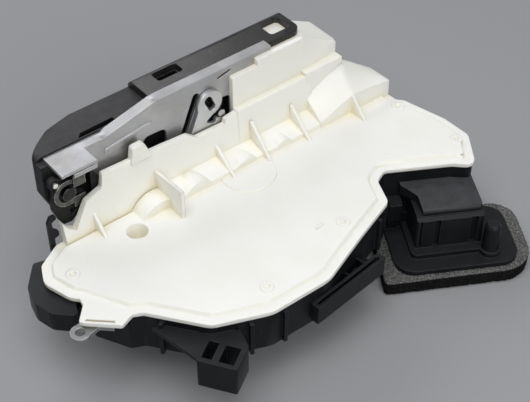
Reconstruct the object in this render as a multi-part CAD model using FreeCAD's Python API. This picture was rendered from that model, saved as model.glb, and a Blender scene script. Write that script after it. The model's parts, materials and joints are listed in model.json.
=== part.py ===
"""Vehicle door latch actuator.

A side-door latch with its electric locking unit. A long moulded housing holds two small
motors with worm drives, and a milky cover closes it. The latch proper, with its claw and
pawl between a black face plate and a bright back plate, stands behind the cover's tall wall.
A plug socket with a foam gasket leaves the housing at one end.

Working frame, in millimetres: X runs along the latch, Y points from the housing to the face
plate, and Z is the cover's normal, zero on the cover's rim. Every shape is moved at export,
so that the origin lies on the outer side of the face plate, just above the mouth.
"""
import FreeCAD, Part
import math
import os

Vector = FreeCAD.Vector
os.makedirs("parts", exist_ok=True)

# Clearances
RUNNING_GAP = 0.3
BORE_CLEARANCE = 0.05
FORK_CLEARANCE = 0.4

# Latch layers across Y
FACE_OUTER_Y = 59.6
FACE_THICKNESS = 3.0
FACE_INNER_Y = FACE_OUTER_Y - FACE_THICKNESS
BACK_PLATE_Y = 38.0
BACK_THICKNESS = 1.5
CASE_FRONT_Y = BACK_PLATE_Y + BACK_THICKNESS
CASE_FLOOR = 3.8
POCKET_Y = CASE_FRONT_Y + CASE_FLOOR
CLAW_THICKNESS = 5.0
CLAW_MID_Y = 50.0
CLAW_FRONT_Y = CLAW_MID_Y - CLAW_THICKNESS / 2
CLAW_REAR_Y = CLAW_MID_Y + CLAW_THICKNESS / 2
JACKET_OVERHANG = 0.7
RELEASE_FRONT_Y = 35.7
RELEASE_REAR_Y = BACK_PLATE_Y - RUNNING_GAP

# Claw, pawl and mouth, in X and Z
MOUTH_HALF = 6.6
MOUTH_TOP_Z = 18.0
DATUM_Z = MOUTH_TOP_Z + 6.0
CLAW_X, CLAW_Z = -12.5, 0.0
CLAW_PIN_RADIUS = 4.0
CLAW_RADIUS = 23.0
CLAW_STEP_RADIUS = 20.5
CLAW_CATCH_RADIUS = 19.8
CLAW_HUB_RADIUS = 9.5
CLAW_SLOT_HALF = 5.4
CLAW_SLOT_Z = -11.5
JACKET_THICKNESS = 1.0
POCKET_GAP = 1.0
PAWL_X, PAWL_Z = 19.0, 12.0
PAWL_PIN_RADIUS = 3.5
PAWL_BOSS_RADIUS = 7.0
STUD_X, STUD_Z, STUD_RADIUS = 4.5, 24.3, 1.8
SPRING_WIRE = 0.5

# Face plate, case and back plate
PLATE_LEFT_X, PLATE_RIGHT_X = -58.0, 54.5
PLATE_BOTTOM_Z = -24.0
PLATE_LOW_TOP_Z = 36.0
STRIP_TOP_Z = 44.4
STRIP_LEFT_X = -27.5
STRIP_FRONT_Y = FACE_OUTER_Y - 18.0
CASE_TOP_Z = 40.4
CASE_RIGHT_X = 36.0
BOLT_RADIUS = 3.4
BOLT_COLLAR_RADIUS = 6.4
BOLT_COLLAR = 4.0
BOLTS = ((-46.0, -4.0), (42.0, 2.0))
BACK_TOP_Z = STRIP_TOP_Z + BACK_THICKNESS
BACK_LOW_TOP_Z = 39.6
BACK_FLANGE_Y = BACK_PLATE_Y + 5.0
TAB_LEFT_X, TAB_RIGHT_X, TAB_FRONT_Y = -80.5, -63.8, 28.6
TAB_LIP = 11.0

# Cover
RIM_THICKNESS = 2.0
PLATEAU_RISE = 1.6
PLATEAU_INSET = 3.6
PLATEAU_BEVEL = 1.2
COVER_WALL = 2.0
COVER_BACK_Y = 34.0
WALL_FOOT_Y, WALL_TOP_Y = 30.0, 33.0
WALL_THICKNESS = 2.2
WALL_TOP_Z = 26.5
BOX_FRONT_Y = 35.4
BOX_TOP_Z = 43.8
BOX_STEP = 3.4
BOX_LEFT_X, BOX_STEP_X, BOX_SLOPE_X, BOX_RIGHT_X = 10.6, 24.5, 50.5, 71.6
BOX_SHOULDER_Z = 32.6
BOX_TURN = 1.4
BOX_WAIST_Z = 24.0
TERRACE_Y = 20.8
TERRACE_LEFT_X, TERRACE_RIGHT_X = -32.0, 50.0
BLOCK_RIGHT_X = 92.6
RIB_THICKNESS = 1.6
BOSSES = ((-89.4, 13.8), (-32.4, -41.3), (16.5, -32.4), (93.0, -24.0), (88.6, 10.0))
BOSS_TOP_Z = PLATEAU_RISE + 0.4
WELL_X, WELL_Y, WELL_RADIUS, WELL_DEPTH = -54.6, 18.1, 4.7, 7.0

# Housing
HOUSING_BOTTOM_Z = -21.0
HOUSING_WALL = 2.2
FLOOR_Z = HOUSING_BOTTOM_Z + 2.0
HOUSING_TOP_Z = -RIM_THICKNESS
HOUSING_SETBACK = 0.6
SEAL_WIDTH = 1.0
SEAL_HEIGHT = 0.8
BAND_LOW_Z, BAND_TOP_Z = -12.8, -3.0
STEP_X = -91.0
BRACKET_TOP_Z = -6.0
CELL_CORNER, CELL_TURN, CELL_DEPTH = (-71.4, -48.6), -57.8, 9.0
CELLS = ((0.0, 4.4), (7.2, 13.6))
CHANNEL_LOW_Z, CHANNEL_TOP_Z = -18.6, -9.0
CHANNEL_LENGTH, CHANNEL_HALF = 41.3, 2.1
LATCH_PADS = ((-56.0, -40.0), (18.0, 34.0))
PAD_LOW_Z, PAD_TOP_Z = -18.0, -4.0
PEG_RADIUS = 2.5
SCREW_RADIUS = 2.0
SCREW_HEAD_RADIUS = 3.4
SCREW_SEAT_Y = 34.5
SCREW_END_Y = 41.0

# Motors, worms and worm wheels
DRIVE_Z = -9.8
MODULE = 0.8
WHEEL_TEETH = 28
WHEEL_THICKNESS = 4.0
WORM_PITCH_RADIUS = 3.5
WORM_TURNS = 5
WORM_LEAD = math.pi * MODULE
WORM_LENGTH = WORM_TURNS * WORM_LEAD
MOTOR_WIDTH, MOTOR_HEIGHT, MOTOR_LENGTH = 20.0, 15.0, 25.0
MOTOR_GAP = 5.6
BEARING_GAP = 2.0
BEARING_WIDTH = 2.0
SHAFT_RADIUS = 1.0
POST_RADIUS = 2.0
POST_SHOULDER = 1.8
LOCK_WHEEL = (4.6, 17.5)
SAFE_WHEEL = (-19.0, -33.0)
CRANK_RADIUS = 7.0
CRANK_PIN_RADIUS = 1.5
LOCK_CRANK_ANGLE = 150.0
SAFE_CRANK_ANGLE = 150.0

# Levers inside the housing
LEVER_THICKNESS = 1.8
LEVER_Z = -6.4
LOCK_PIVOT = (-28.0, 20.0)
SAFE_PIVOT = (-45.6, -31.0)
TRANSFER_Z = -11.2
TRANSFER_PIVOT = (-52.0, 0.0)
INSIDE_PIVOT = (-82.0, -6.0)
INSIDE_Z = -5.6
INSIDE_THICKNESS = 2.0
EYE_X, EYE_Y, EYE_RADIUS = -101.9, -10.1, 2.2
TAIL_X, TAIL_Y, TAIL_RADIUS = -68.0, -4.0, 1.5
TAB_ANGLE = -43.5
SWITCHES = ((-10.0, 3.5, 90.0), (-33.0, 3.5, 0.0), (29.0, -24.0, 0.0))
LEAD_THICKNESS = 0.6
LEAD_WIDTH = 2.0

# Plug socket, in its own axes u and v turned about Z
SOCKET_TURN = -30.0
FLANGE_U, FLANGE_V = (57.0, 114.2), (-20.9, 16.5)
FLANGE_Z = -36.0
FLANGE_THICKNESS = 2.4
FLANGE_CORNER = 9.0
FOAM_THICKNESS = 8.0
FOAM_OUTLINE = [(50.2, -24.3, 2.5), (120.6, -23.6, 15.0), (122.2, 21.0, 12.0), (52.0, 20.0, 9.0)]
FOAM_HOLE_U, FOAM_HOLE_V = (68.0, 97.0), (-10.0, 10.0)
BLOCK_U, BLOCK_V = (67.3, 98.4), (-8.9, 18.0)
BLOCK_TOP_Z = -13.4
PEG_U, PEG_V = 101.2, -12.9
CAVITY_U, CAVITY_V = (72.0, 92.0), (-5.8, 5.8)
CAVITY_TOP_Z = -17.5
CONTACT_LENGTH = 12.0

# Key lever
KEY_X, KEY_Z = -75.4, 23.0
KEY_PIN_RADIUS = 2.5
KEY_FRONT_Y = 36.4
KEY_FORK_Y = 35.2
KEY_STUD = (KEY_X - 4.9, KEY_Z + 6.4)

RIM_LEFT = [(-85.0, COVER_BACK_Y, 2.0), (-96.3, 27.4, 5.0), (-100.6, 18.5, 7.0), (-96.8, 5.5, 6.0)]
RIM_TAB = [(-94.0, 2.0), (-94.6, -1.4), (-100.9, -8.1, 0.8), (-99.4, -10.0, 0.8), (-88.6, -20.4, 1.5),
           (-82.0, -18.0, 2.0)]
RIM_NOTCH = [(-94.0, 2.0, 1.5), (-84.0, -17.0, 2.0)]
RIM_FRONT = [
    (-78.3, -20.0, 3.0), (-61.5, -42.5, 8.0), (-38.0, -52.2, 14.0), (-8.5, -52.6, 16.0),
    (19.7, -41.7, 12.0), (41.4, -34.0, 4.0), (47.0, -21.0, 5.0), (54.0, -18.0, 3.0),
    (80.7, -33.5, 2.0), (88.6, -41.0, 4.0), (101.0, -24.0, 6.0), (100.8, -9.0, 4.0), (95.6, 13.0, 2.0),
    (93.0, 16.0, 1.0), (BLOCK_RIGHT_X, COVER_BACK_Y, 1.0),
]


def export(shape, name):
    """Move a finished shape to the part's own frame and write it as a STEP file."""
    moved = shape.copy()
    moved.translate(Vector(0, -FACE_OUTER_Y, -DATUM_Z))
    moved.exportStep("parts/" + name + ".step")


# Shape helpers

def outline(points):
    """Closed wire in the X-Y plane through (x, y) or (x, y, corner radius) points."""
    corners = [Vector(p[0], p[1], 0) for p in points]
    ends = []
    for i, corner in enumerate(corners):
        radius = points[i][2] if len(points[i]) > 2 else 0.0
        if radius == 0.0:
            ends.append((corner, None, corner))
            continue
        before = (corners[i - 1] - corner).normalize()
        after = (corners[(i + 1) % len(corners)] - corner).normalize()
        half = before.getAngle(after) / 2
        reach = radius / math.tan(half)
        middle = (before + after).normalize()
        through = corner + middle * (radius / math.sin(half) - radius)
        ends.append((corner + before * reach, through, corner + after * reach))
    edges = []
    for i, (start, through, stop) in enumerate(ends):
        if through is not None:
            edges.append(Part.Arc(start, through, stop).toShape())
        following = ends[(i + 1) % len(ends)][0]
        if (following - stop).Length > 1e-6:
            edges.append(Part.makeLine(stop, following))
    return Part.Wire(edges)


def raised(face, z0, z1):
    """Face in the X-Y plane extruded between two heights."""
    moved = face.copy()
    moved.translate(Vector(0, 0, z0))
    return moved.extrude(Vector(0, 0, z1 - z0))


def prism(points, z0, z1):
    return raised(Part.Face(outline(points)), z0, z1)


def plate_xz(points, y0, y1):
    """Outline given in X and Z, extruded along Y."""
    solid = prism(points, 0, y1 - y0)
    solid.rotate(Vector(0, 0, 0), Vector(1, 0, 0), 90)
    solid.translate(Vector(0, y1, 0))
    return solid


def plate_yz(points, x0, x1):
    """Outline given in Y and Z, extruded along X."""
    return turned_along_x(prism(points, x0, x1))


def turned_along_x(shape):
    """Turn a shape so that its Z points along X, its X along Y and its Y along Z."""
    turned = shape.copy()
    turned.rotate(Vector(0, 0, 0), Vector(1, 1, 1), 120)
    return turned


def turned_along_y(shape):
    """Turn a shape so that its Z points along Y."""
    turned = shape.copy()
    turned.rotate(Vector(0, 0, 0), Vector(1, 0, 0), -90)
    return turned


def box(x0, x1, y0, y1, z0, z1):
    return Part.makeBox(x1 - x0, y1 - y0, z1 - z0, Vector(x0, y0, z0))


def post(x, y, radius, z0, z1):
    return Part.makeCylinder(radius, z1 - z0, Vector(x, y, z0), Vector(0, 0, 1))


def pin_x(y, z, radius, x0, x1):
    return Part.makeCylinder(radius, x1 - x0, Vector(x0, y, z), Vector(1, 0, 0))


def pin_y(x, z, radius, y0, y1):
    return Part.makeCylinder(radius, y1 - y0, Vector(x, y0, z), Vector(0, 1, 0))


def union(shapes):
    return shapes[0].multiFuse(shapes[1:]).removeSplitter()


def polar(x, y, radius, degrees):
    angle = math.radians(degrees)
    return (x + radius * math.cos(angle), y + radius * math.sin(angle))


def sector_xz(x, z, radius, start, stop, y0, y1):
    """Pie slice about (x, z), counted from +X towards +Z."""
    ends = [Vector(*polar(x, z, radius, angle), 0) for angle in (start, (start + stop) / 2, stop)]
    centre = Vector(x, z, 0)
    wire = Part.Wire([Part.makeLine(centre, ends[0]), Part.Arc(*ends).toShape(),
                      Part.makeLine(ends[2], centre)])
    solid = Part.Face(wire).extrude(Vector(0, 0, y1 - y0))
    solid.rotate(Vector(0, 0, 0), Vector(1, 0, 0), 90)
    solid.translate(Vector(0, y1, 0))
    return solid


def capsule_xz(x0, z0, x1, z1, half_width, y0, y1):
    """Plate with round ends between two points in X and Z."""
    length = math.hypot(x1 - x0, z1 - z0)
    side_x, side_z = -(z1 - z0) / length * half_width, (x1 - x0) / length * half_width
    middle = plate_xz([(x0 + side_x, z0 + side_z), (x1 + side_x, z1 + side_z), (x1 - side_x, z1 - side_z),
                       (x0 - side_x, z0 - side_z)], y0, y1)
    return union([middle, pin_y(x0, z0, half_width, y0, y1), pin_y(x1, z1, half_width, y0, y1)])


def placed(shape, x, y, heading):
    """Turn a shape about Z to a heading, then move it to (x, y)."""
    moved = shape.copy()
    moved.rotate(Vector(0, 0, 0), Vector(0, 0, 1), heading)
    moved.translate(Vector(x, y, 0))
    return moved


def arm(x, y, heading, length, width, z0, z1):
    """Flat arm with a round end, leaving (x, y) at a heading in degrees."""
    flat = box(0, length, -width / 2, width / 2, z0, z1)
    return placed(flat.fuse(post(length, 0, width / 2, z0, z1)), x, y, heading)


def slot(x, y, heading, start, stop, half_width, z0, z1):
    """Straight slot with round ends along a heading from (x, y)."""
    middle = box(start, stop, -half_width, half_width, z0, z1)
    return placed(union([middle, post(start, 0, half_width, z0, z1), post(stop, 0, half_width, z0, z1)]), x,
                  y,
                  heading)


# Cover

def rim_face():
    return Part.Face(outline(RIM_LEFT + RIM_TAB + RIM_FRONT))


def inner_face(inset):
    """The cover's outline without its tab, moved inwards."""
    face = Part.Face(outline(RIM_LEFT + RIM_NOTCH + RIM_FRONT))
    return Part.Face(face.makeOffset2D(-inset).OuterWire)


def plateau():
    """Raised middle of the cover with a sloping edge."""
    foot = inner_face(PLATEAU_INSET).OuterWire
    foot.translate(Vector(0, 0, -RIM_THICKNESS / 2))
    shoulder = inner_face(PLATEAU_INSET + PLATEAU_BEVEL).OuterWire
    shoulder.translate(Vector(0, 0, PLATEAU_RISE))
    return Part.makeLoft([foot, shoulder], True, True)


def back_wall():
    """Tall drafted wall beside the latch, with its stepped left end and its top block."""
    profile = [(WALL_FOOT_Y, 0), (WALL_TOP_Y, WALL_TOP_Z), (WALL_TOP_Y + WALL_THICKNESS, WALL_TOP_Z),
               (COVER_BACK_Y, 0)]
    wall = plate_yz(profile, -82.0, BOX_LEFT_X + COVER_WALL)
    mask = plate_xz([(-81.6, 0), (-82.0, 12.6), (-79.6, 8.4), (-76.0, 5.6), (-69.4, 17.0, 1.0),
                     (-61.2, 19.8, 1.5),
                     (-60.0, WALL_TOP_Z, 1.0), (-30.0, 25.2), (-16.0, 24.2, 2.0), (-11.5, 20.6, 2.0),
                     (3.5, 20.3), (4.2, 22.6), (13.0, 24.0), (13.0, 0)], 20.0, 40.0)
    block = plate_xz([(-46.0, 24.0), (-44.6, 32.4, 1.2), (-38.8, 32.4, 1.2), (-35.4, 24.0)],
                     WALL_TOP_Y - 1.0, WALL_TOP_Y + WALL_THICKNESS)
    return union([wall.common(mask), block])


def terrace(inset):
    """Low step at the foot of the wall."""
    edge = TERRACE_Y + inset
    profile = [(edge, -1.5), (edge, 1.0), (edge + 0.5, 3.8 - inset), (WALL_FOOT_Y + 1.0, 6.6 - inset),
               (WALL_FOOT_Y + 1.0, -1.5)]
    return plate_yz(profile, TERRACE_LEFT_X + inset, TERRACE_RIGHT_X + 2.0)


def box_front():
    """Front layer of the tall box, with its stepped top and sloping right shoulder."""
    low_top = BOX_TOP_Z - BOX_STEP
    front = plate_xz([(BOX_LEFT_X, BOX_WAIST_Z - 3.0), (BOX_LEFT_X, low_top, 0.8), (BOX_STEP_X, low_top),
                      (BOX_STEP_X, BOX_TOP_Z, 0.8), (BOX_SLOPE_X, BOX_TOP_Z),
                      (BOX_RIGHT_X, BOX_SHOULDER_Z, 3.0),
                      (BOX_RIGHT_X, BOX_WAIST_Z - 3.0)], BOX_FRONT_Y, BACK_PLATE_Y)
    turn = prism([(BOX_SLOPE_X, BOX_FRONT_Y), (BOX_SLOPE_X, BOX_FRONT_Y - 1.0),
                  (BOX_RIGHT_X + 1.0, BOX_FRONT_Y - 1.0),
                  (BOX_RIGHT_X + 1.0, BOX_FRONT_Y + BOX_TURN)], 0, BOX_TOP_Z + 1.0)
    return front.cut(turn)


def box_rear(inset):
    """Rear layer of the tall box, which runs under the right end of the face plate's strip."""
    top = STRIP_TOP_Z - FACE_THICKNESS - inset
    return plate_xz([(CASE_RIGHT_X + inset, 20.0 - inset), (CASE_RIGHT_X + inset, top), (54.1, top),
                     (BOX_RIGHT_X - inset, BOX_SHOULDER_Z - inset), (BOX_RIGHT_X - inset, 20.0 - inset)],
                    BACK_PLATE_Y, FACE_INNER_Y - 1.2 - inset)


def box_waist():
    """Wall under the tall box, drafted like the back wall."""
    profile = [(WALL_FOOT_Y, 0), (WALL_TOP_Y - 0.6, BOX_WAIST_Z), (BOX_FRONT_Y, BOX_WAIST_Z),
               (BACK_PLATE_Y, BOX_WAIST_Z), (BACK_PLATE_Y, BOX_WAIST_Z - 3.0), (COVER_BACK_Y, 12.0),
               (COVER_BACK_Y, 0)]
    return plate_yz(profile, BOX_LEFT_X, 53.0)


def right_block(inset):
    """Domed shoulder between the tall box and the right end."""
    stations = ((TERRACE_RIGHT_X + inset, 4.2, 14.0), (63.0, 9.5, 21.0), (70.5, 12.0, 24.6),
                (BLOCK_RIGHT_X - inset, 8.8, 8.4))
    wires = []
    for x, front, back in stations:
        edge = TERRACE_Y + inset
        rear = COVER_BACK_Y - inset
        corners = [(edge, -1.5), (edge, front - inset), (rear, back - inset), (rear, -1.5)]
        wires.append(Part.makePolygon([Vector(x, y, z) for y, z in corners + [corners[0]]]))
    return Part.makeLoft(wires, True, True)


def box_apron():
    """Web that joins the shoulder to the tall box behind it."""
    return plate_xz([(50.0, 10.0), (50.0, BOX_WAIST_Z + 2.0), (BOX_RIGHT_X, BOX_WAIST_Z + 2.0),
                     (BOX_RIGHT_X, 20.0)], COVER_BACK_Y - COVER_WALL, BACK_PLATE_Y)


def gussets():
    """Thin upright ribs that brace the wall: x, foot y, top y, top z."""
    ribs = ((-66.8, 21.9, 31.6, 10.2), (-2.1, 16.0, 32.0, 12.5), (17.2, 15.5, 31.0, 16.6),
            (40.3, 15.5, 31.0, 14.4), (69.3, 10.5, 21.4, 12.0))
    shapes = []
    for x, foot, top_y, top_z in ribs:
        shapes.append(plate_yz([(foot, 0.6), (top_y, top_z), (top_y, 0.6)], x - RIB_THICKNESS / 2,
                               x + RIB_THICKNESS / 2))
    tall = [(12.2, 0.6), (12.0, 16.6), (31.8, 15.2), (30.4, 0.6)]
    shapes.append(plate_yz(tall, -34.6 - RIB_THICKNESS / 2, -34.6 + RIB_THICKNESS / 2))
    return shapes


def bulges():
    """Rounded swellings over the worm wheel and the levers, and a short mark rib."""
    shapes = [post(LOCK_WHEEL[0], LOCK_WHEEL[1], 12.6, 0, PLATEAU_RISE + 0.6)]
    for x, z, radius in ((-39.0, -4.2, 11.5), (-19.6, -1.6, 8.6), (7.0, -2.2, 8.2), (28.6, 0.4, 5.2)):
        shapes.append(pin_y(x, z, radius, TERRACE_Y + 0.3, WALL_FOOT_Y))
    keep = box(-80, 80, 0, WALL_FOOT_Y + 1.0, 0.2, 10)
    mark = placed(box(0, 4.6, 0, 1.2, 0.8, 1.9), 4.8, -29.0, 10)
    return [shape.common(keep) for shape in shapes] + [mark]


def top_cover():
    hollow = raised(inner_face(PLATEAU_INSET + PLATEAU_BEVEL + 0.6), -RIM_THICKNESS,
                    PLATEAU_RISE - COVER_WALL)
    forms = [raised(rim_face(), -RIM_THICKNESS, 0), plateau(), terrace(0), right_block(0), box_rear(0),
             box_front(), box_waist(), box_apron(), back_wall()]
    hollows = union([hollow, terrace(COVER_WALL), right_block(COVER_WALL)])
    rear_wall = box(-120, 120, COVER_BACK_Y - COVER_WALL, COVER_BACK_Y + 1, -6, 30)
    hollows = hollows.cut(rear_wall)
    shape = union(forms).cut(hollows).cut(box_rear(COVER_WALL))
    well = post(WELL_X, WELL_Y, WELL_RADIUS + 1.4, -WELL_DEPTH - 1.4, 0)
    shape = union([shape, well] + gussets() + bulges() + [post(x, y, 2.9, 0,
                                                               BOSS_TOP_Z) for x, y in BOSSES])
    cuts = [post(WELL_X, WELL_Y, WELL_RADIUS, -WELL_DEPTH, 10)]
    cuts.append(placed(box(0, 11.6, 0, 1.0, -RIM_THICKNESS - 1, 1), -98.6, -9.3, TAB_ANGLE))
    cuts += [post(x, y, 1.3, BOSS_TOP_Z - 0.6, BOSS_TOP_Z + 1) for x, y in BOSSES]
    return shape.cut(union(cuts))


# Housing

def housing_face(inset):
    """Outline of the housing's wall, set back under the cover's rim."""
    return inner_face(HOUSING_SETBACK + inset)


def barrel_band():
    """Rounded outboard wall at the left end, with fine upright flutes."""
    band = prism([(-88.0, 31.0), (-97.0, 33.6, 2.0), (-106.0, 23.0, 6.0), (-108.2, 14.0, 8.0),
                  (-106.0, 5.0, 5.0), (-99.5, -1.5, 2.0), (-90.0, -2.0)], BAND_LOW_Z, BAND_TOP_Z)
    flutes = [post(*polar(-91.0, 14.0, 17.6, 140 + 10 * i), 0.5, BAND_LOW_Z + 1.5, BAND_TOP_Z + 1)
              for i in range(9)]
    return band.cut(union(flutes))


def socket_bracket():
    """Front bracket with two open cells that take a trim clip, on a triangular web."""
    body = prism([(-73.9, -48.7, 1.0), (-64.7, -62.7, 1.0), (-53.4, -55.8, 1.0), (-51.0, -47.0),
                  (-62.0, -38.0)],
                 HOUSING_BOTTOM_Z, BRACKET_TOP_Z)
    cells = [placed(box(start, stop, 0, CELL_DEPTH, HOUSING_BOTTOM_Z - 1, BRACKET_TOP_Z + 1), *CELL_CORNER,
                    CELL_TURN)
             for start, stop in CELLS]
    undercut = prism([(-56.0, -44.0), (-52.6, -56.4), (-49.0, -46.0)], HOUSING_BOTTOM_Z - 1,
                     BRACKET_TOP_Z - 4.0)
    web = prism([(-77.5, -24.0), (-73.2, -48.6), (-62.0, -42.0), (-70.0, -28.0)], BRACKET_TOP_Z - 2.0,
                BRACKET_TOP_Z)
    return union([body, web]).cut(union(cells + [undercut]))


def clip_channel():
    """Long upright pocket that stands off the front wall on a ledge and three webs."""
    length = CHANNEL_LENGTH
    pocket = box(0, length, -CHANNEL_HALF, CHANNEL_HALF, CHANNEL_LOW_Z, CHANNEL_TOP_Z)
    narrow = slot(0, 0, 0, 2.2, length - 2.2, CHANNEL_HALF / 3, CHANNEL_LOW_Z + 2.0, 0)
    wide = post(length - 3.2, 0, CHANNEL_HALF * 0.6, CHANNEL_LOW_Z + 2.0, 0)
    ledge = box(0, length, 0, 10.5, CHANNEL_LOW_Z, CHANNEL_LOW_Z + 1.8)
    shelf = box(0.6, 7.0, 0, 9.0, CHANNEL_TOP_Z - 3.6, CHANNEL_TOP_Z - 2.0)
    webs = [box(x, x + 1.2, 0, 9.0, CHANNEL_LOW_Z, CHANNEL_TOP_Z - 2.6) for x in (14.0, 24.0, 34.0)]
    return placed(union([pocket, ledge, shelf] + webs).cut(narrow.fuse(wide)), -17.6, -54.3, 6.2)


def outside_ribs():
    """Upright ribs on the front walls: x, y, heading."""
    places = ((-74.0, -26.0, -53), (-46.5, -48.6, -20), (-32.0, -51.6, -2), (33.0, -36.8, 20),
              (43.8, -28.5, 65))
    return [placed(box(-0.8, 0.8, -1.8, 2.0, HOUSING_BOTTOM_Z, -3.2), x, y,
                   heading) for x, y, heading in places]


def pad_centres():
    return [((x0 + x1) / 2, (PAD_LOW_Z + PAD_TOP_Z) / 2) for x0, x1 in LATCH_PADS]


def latch_pads():
    """Pads on the back wall that the latch's back plate sits on."""
    return [box(x0, x1, 30.0, BACK_PLATE_Y, PAD_LOW_Z, PAD_TOP_Z) for x0, x1 in LATCH_PADS]


def stepped_post(place, seat_z, top_z):
    """Axle post with a shoulder just below the piece that turns on it."""
    x, y = place
    shoulder = post(x, y, POST_RADIUS + POST_SHOULDER, FLOOR_Z, seat_z - RUNNING_GAP)
    return shoulder.fuse(post(x, y, POST_RADIUS, FLOOR_Z, top_z))


def axle_posts():
    wheel_low = DRIVE_Z - WHEEL_THICKNESS / 2
    posts = [stepped_post(wheel, wheel_low, wheel_low + WHEEL_THICKNESS + 1.0)
             for wheel in (LOCK_WHEEL, SAFE_WHEEL)]
    posts += [stepped_post(pivot, LEVER_Z, LEVER_Z + LEVER_THICKNESS + 1.2)
              for pivot in (LOCK_PIVOT, SAFE_PIVOT)]
    posts.append(stepped_post(TRANSFER_PIVOT, TRANSFER_Z, TRANSFER_Z + LEVER_THICKNESS + 1.2))
    return posts


def inside_lever_post():
    x, y = INSIDE_PIVOT
    return post(x, y, POST_RADIUS + POST_SHOULDER, FLOOR_Z, INSIDE_Z - RUNNING_GAP)


def worm_y(wheel, side):
    """Y of a worm's axis; side is -1 where it runs on the wheel's -Y side."""
    return wheel[1] + side * (MODULE * WHEEL_TEETH / 2 + WORM_PITCH_RADIUS)


def drive_supports(wheel, side, heading):
    """Bearing block and motor cradle of a drive; heading is +1 where the motor lies towards +X."""
    y = worm_y(wheel, side)
    near = wheel[0] - heading * (WORM_LENGTH / 2 + BEARING_GAP)
    far = near - heading * BEARING_WIDTH
    bearing = box(min(near, far), max(near, far), y - 3.0, y + 3.0, FLOOR_Z, DRIVE_Z + 3.0)
    bore = pin_x(y, DRIVE_Z, SHAFT_RADIUS + BORE_CLEARANCE, wheel[0] - 20, wheel[0] + 20)
    supports = [bearing.cut(bore)]
    start = wheel[0] + heading * (WORM_LENGTH / 2 + MOTOR_GAP)
    for distance in (5.0, 19.0):
        middle = start + heading * distance
        supports.append(box(middle - 1, middle + 1, y - 7.0, y + 7.0, FLOOR_Z, DRIVE_Z - MOTOR_HEIGHT / 2))
    return supports


def inner_fittings():
    """Everything that stands on the housing's floor."""
    return axle_posts() + drive_supports(LOCK_WHEEL, -1, 1) + drive_supports(SAFE_WHEEL, 1, 1)


def corner_hook():
    """Small hook that stands beside the cover's back left corner."""
    front, rear = COVER_BACK_Y + RUNNING_GAP, COVER_BACK_Y + 2.0
    hook = plate_xz([(-87.0, -12.0), (-87.2, 12.6, 0.8), (-85.6, 15.6, 0.8), (-83.0, 15.4, 0.6),
                     (-83.0, 13.6, 0.4),
                     (-85.2, 12.6), (-85.2, 9.0), (-82.6, 6.4), (-82.6, 4.0, 0.6), (-84.8, 3.6),
                     (-84.8, -12.0)],
                    front, rear)
    foot = box(-87.0, -82.0, 28.0, rear, -14.0, -4.0)
    return hook.fuse(foot)


def left_step(wall):
    """Room under the shallow left end of the housing."""
    return box(-120.0, STEP_X + wall, -60.0, 60.0, HOUSING_BOTTOM_Z - 1, BAND_LOW_Z + wall)


def base_housing():
    inner = raised(housing_face(HOUSING_WALL), FLOOR_Z, 5).cut(left_step(HOUSING_WALL))
    pads = latch_pads()
    outer = raised(housing_face(0), HOUSING_BOTTOM_Z, HOUSING_TOP_Z).cut(left_step(0))
    shell = union([outer, barrel_band(), socket_bracket(), clip_channel(),
                   corner_hook()] + outside_ribs() + pads)
    shell = shell.cut(inner.cut(union(pads)))
    window = prism([(-95.0, 4.0), (-102.0, -12.0), (-88.0, -22.0), (-79.0, -13.0), (-79.0, -5.0),
                    (-88.0, 4.0)],
                   INSIDE_Z - 1.2, 0)
    shell = union([shell.cut(window), inside_lever_post()] + inner_fittings())
    cuts = [post(*INSIDE_PIVOT, POST_RADIUS, FLOOR_Z + 2.0, 0), seal_ring(),
            post(WELL_X, WELL_Y, WELL_RADIUS + 1.4, -WELL_DEPTH - 1.4, 0)]
    for x, z in pad_centres():
        cuts.append(pin_y(x, z - 3.5, SCREW_RADIUS, 20, BACK_PLATE_Y + 1))
        cuts.append(pin_y(x, z - 3.5, SCREW_HEAD_RADIUS + 0.2, 20, SCREW_SEAT_Y))
    pegs = [pin_y(x, z + 3.5, PEG_RADIUS, BACK_PLATE_Y - 1, CASE_FRONT_Y) for x, z in pad_centres()]
    return union([shell.cut(union(cuts))] + pegs)


def seal_ring():
    """Soft gasket in the groove round the top of the housing wall."""
    outer = raised(housing_face(0.6), HOUSING_TOP_Z - SEAL_HEIGHT, HOUSING_TOP_Z)
    return outer.cut(raised(housing_face(0.6 + SEAL_WIDTH), HOUSING_TOP_Z - 5, 0))


def latch_screws():
    """Two screws that hold the latch's back plate to the housing's pads."""
    screws = []
    for x, z in pad_centres():
        head = pin_y(x, z - 3.5, SCREW_HEAD_RADIUS, SCREW_SEAT_Y - 2.2, SCREW_SEAT_Y)
        drive = pin_y(x, z - 3.5, 1.4, SCREW_SEAT_Y - 2.3, SCREW_SEAT_Y - 0.8)
        shank = pin_y(x, z - 3.5, SCREW_RADIUS, SCREW_SEAT_Y, SCREW_END_Y)
        screws.append(head.cut(drive).fuse(shank))
    return Part.makeCompound(screws)


# Drives

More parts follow.
